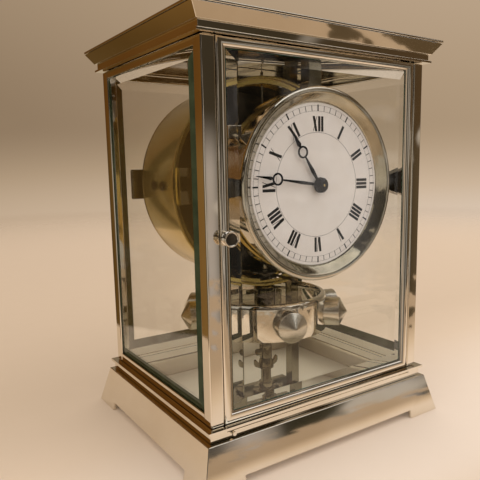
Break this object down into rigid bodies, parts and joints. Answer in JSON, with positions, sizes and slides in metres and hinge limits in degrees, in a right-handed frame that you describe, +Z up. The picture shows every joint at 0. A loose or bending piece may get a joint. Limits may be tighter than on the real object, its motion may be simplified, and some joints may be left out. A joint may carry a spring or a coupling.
{
  "type": "atmospheric clock",
  "caption": "Small glazed metal case clock with a hinged glass door, round white dial, a drum motor behind it and a slow horizontal balance hanging on a wire.",
  "frame": {"origin": "centre of the case's footprint on the surface it stands on", "axes": "+Z up, -Y towards the dial and the door, +X to the right as the dial is read"},
  "size_m": [0.1744, 0.1528, 0.235],
  "materials": {
    "nickel": "polished nickel",
    "gilt": "polished",
    "steel": "dark polished",
    "glass": "clear, green at the edges",
    "blackened": "blued black",
    "enamel": "satin white",
    "floor": "polished",
    "mercury": "liquid"
  },
  "bodies": {
    "case": {"base_skirt": "nickel", "base_band": "nickel", "base_ledge": "nickel", "case_frame": "nickel", "top_lip": "nickel", "cornice": "nickel", "lid": "nickel", "movement_stand": "nickel", "portal": "nickel", "bezel": "nickel", "bezel_neck": "nickel", "dial_bar": "nickel", "drum_shell": "gilt", "drum_cover": "gilt", "drum_strap": "gilt", "axle_bridge": "gilt", "back_plate": "gilt", "front_plate": "gilt", "hinge_pin_low": "steel", "hinge_pin_top": "steel", "drum_screw_left_front": "steel", "drum_screw_left_rear": "steel", "drum_screw_right_front": "steel", "drum_screw_right_rear": "steel", "rear_bar": "steel", "lock_post": "steel", "glass_left": "glass", "glass_right": "glass", "glass_rear": "glass", "dial": "enamel", "floor_plate": "floor", "mercury_fill": "mercury"},
    "door": {"door_frame": "nickel", "door_glass": "glass"},
    "knob": {"door_knob": "nickel"},
    "motor": {"motor_axle": "steel", "motor_vessel": "glass"},
    "winder": {"winding_arbor": "steel"},
    "barrel": {"barrel": "gilt"},
    "centre": {"centre_wheel": "gilt", "minute_hand": "blackened"},
    "third": {"third_wheel": "gilt"},
    "escape": {"escape_wheel": "gilt"},
    "pallets": {"pallet_lever": "steel"},
    "motion": {"motion_wheel": "gilt"},
    "hour": {"hour_wheel": "gilt", "hour_hand": "blackened"},
    "balance": {"balance_ring": "nickel", "balance_hub": "nickel", "star_roller": "steel", "suspension_wire": "steel", "balance_weight_1": "nickel", "balance_weight_2": "nickel", "balance_weight_3": "nickel", "balance_weight_4": "nickel", "balance_weight_5": "nickel", "balance_weight_6": "nickel"},
    "sleeve": {"lock_sleeve": "steel"},
    "thumb": {"thumb_screw": "steel"},
    "nut": {"wing_nut": "steel"}
  },
  "joints": [
    {"name": "door_hinge", "type": "hinge", "parent": "case", "child": "door", "pos_m": [0.0669, -0.0643, 0.0303], "axis": [0, 0, 1], "range_deg": [0, 95]},
    {"name": "knob_turn", "type": "hinge", "parent": "door", "child": "knob", "pos_m": [-0.06578, -0.06595, 0.1267], "axis": [0, -1, 0], "range_deg": [0, 90]},
    {"name": "motor_turn", "type": "hinge", "parent": "case", "child": "motor", "pos_m": [0, 0.0315, 0.1504], "axis": [0, 1, 0], "range_deg": [-60, 60]},
    {"name": "winder_turn", "type": "hinge", "parent": "case", "child": "winder", "pos_m": [0.016, 0, 0.1504], "axis": [0, 1, 0], "range_deg": [-180, 180]},
    {"name": "barrel_turn", "type": "hinge", "parent": "case", "child": "barrel", "pos_m": [0.016, -0.027, 0.1504], "axis": [0, 1, 0], "continuous": true},
    {"name": "centre_turn", "type": "hinge", "parent": "case", "child": "centre", "pos_m": [0, -0.03, 0.1504], "axis": [0, 1, 0], "continuous": true},
    {"name": "third_turn", "type": "hinge", "parent": "case", "child": "third", "pos_m": [-0.01358, -0.03, 0.13682], "axis": [0, 1, 0], "continuous": true},
    {"name": "escape_turn", "type": "hinge", "parent": "case", "child": "escape", "pos_m": [0, -0.03, 0.12855], "axis": [0, 1, 0], "continuous": true},
    {"name": "pallet_swing", "type": "hinge", "parent": "case", "child": "pallets", "pos_m": [0, -0.03, 0.11605], "axis": [0, 1, 0], "range_deg": [-4, 4]},
    {"name": "motion_turn", "type": "hinge", "parent": "case", "child": "motion", "pos_m": [0.00877, -0.048, 0.14163], "axis": [0, 1, 0], "continuous": true},
    {"name": "hour_turn", "type": "hinge", "parent": "case", "child": "hour", "pos_m": [0, -0.055, 0.1504], "axis": [0, 1, 0], "continuous": true},
    {"name": "balance_turn", "type": "hinge", "parent": "case", "child": "balance", "pos_m": [0, -0.0025, 0.057], "axis": [0, 0, 1], "range_deg": [-60, 60]},
    {"name": "lock_lift", "type": "slide", "parent": "case", "child": "sleeve", "axis": [0, 0, 1], "range_m": [0, 0.0022]},
    {"name": "nut_turn", "type": "hinge", "parent": "sleeve", "child": "nut", "pos_m": [0, -0.0025, 0.0274], "axis": [0, 0, 1], "range_deg": [0, 720]},
    {"name": "thumb_turn", "type": "hinge", "parent": "sleeve", "child": "thumb", "pos_m": [-0.0042, -0.0025, 0.0388], "axis": [-1, 0, 0], "range_deg": [0, 360]}
  ],
  "couplings": [
    {"joint": "winder_turn", "follows": "motor_turn", "ratio": -3},
    {"joint": "centre_turn", "follows": "barrel_turn", "ratio": -4},
    {"joint": "third_turn", "follows": "barrel_turn", "ratio": 8},
    {"joint": "escape_turn", "follows": "barrel_turn", "ratio": -16},
    {"joint": "motion_turn", "follows": "barrel_turn", "ratio": 1.3333},
    {"joint": "hour_turn", "follows": "barrel_turn", "ratio": -0.33333},
    {"joint": "nut_turn", "follows": "lock_lift", "rad_per_m": 5714.3}
  ]
}
